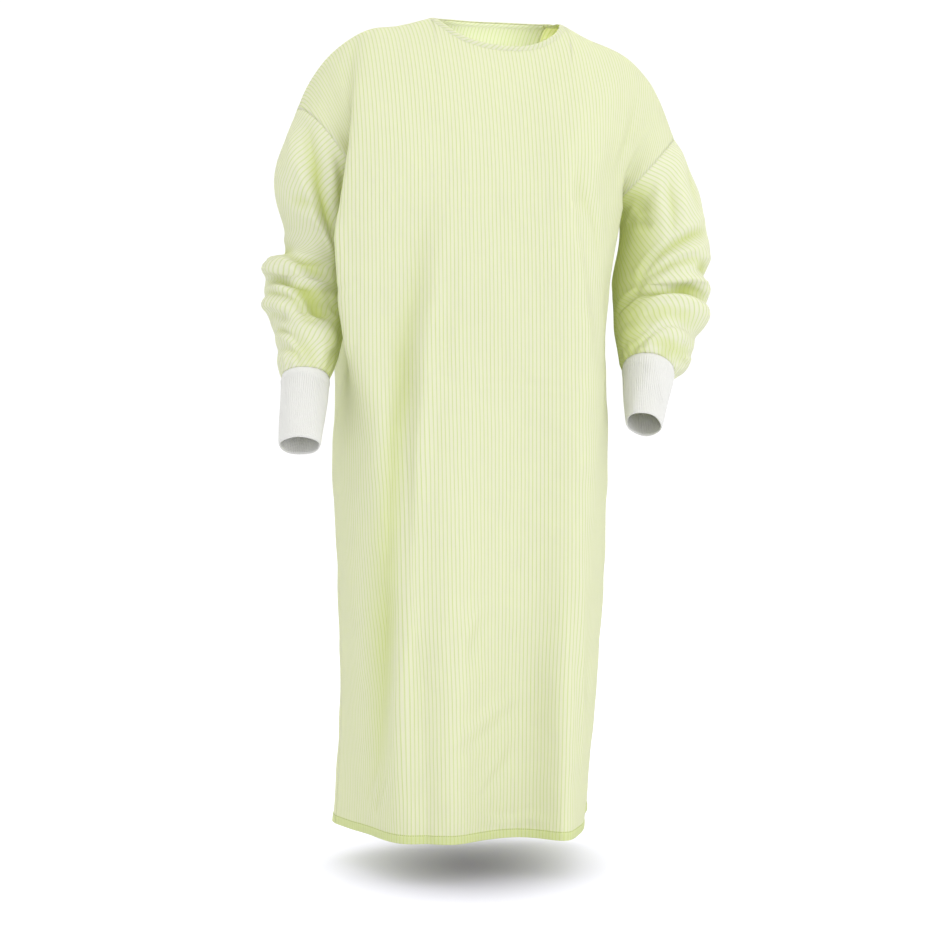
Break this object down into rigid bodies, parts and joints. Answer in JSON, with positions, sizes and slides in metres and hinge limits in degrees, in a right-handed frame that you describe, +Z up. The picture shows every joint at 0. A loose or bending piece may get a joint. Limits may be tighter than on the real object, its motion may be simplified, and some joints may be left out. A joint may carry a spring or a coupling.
{
  "type": "isolation gown",
  "caption": "Long-sleeved isolation gown of striped woven cloth with knit cuffs, opening at the back, in the hollow form it keeps when worn.",
  "frame": {"origin": "centre of the wearer's neck, level with the side points of the neck edge, where neck and shoulders carry the gown", "axes": "+Z up, the gown's front faces -Y, the wearer's left is +X"},
  "size_m": [0.6858, 0.3745, 1.2052],
  "materials": {
    "striped_cloth": "matt woven cloth with fine stripes",
    "cuff_knit": "white rib knit"
  },
  "bodies": {
    "root": {"front_panel": "striped_cloth", "back_right": "striped_cloth", "back_left": "striped_cloth", "sleeve_right": "striped_cloth", "sleeve_left": "striped_cloth", "cuff_right": "cuff_knit", "cuff_left": "cuff_knit", "neck_binding": "striped_cloth", "waist_tie_left": "striped_cloth", "waist_tie_right": "striped_cloth", "waist_knot": "striped_cloth", "waist_tail_left": "striped_cloth", "waist_tail_right": "striped_cloth", "neck_knot": "striped_cloth", "neck_tail_left": "striped_cloth", "neck_tail_right": "striped_cloth"}
  },
  "joints": []
}
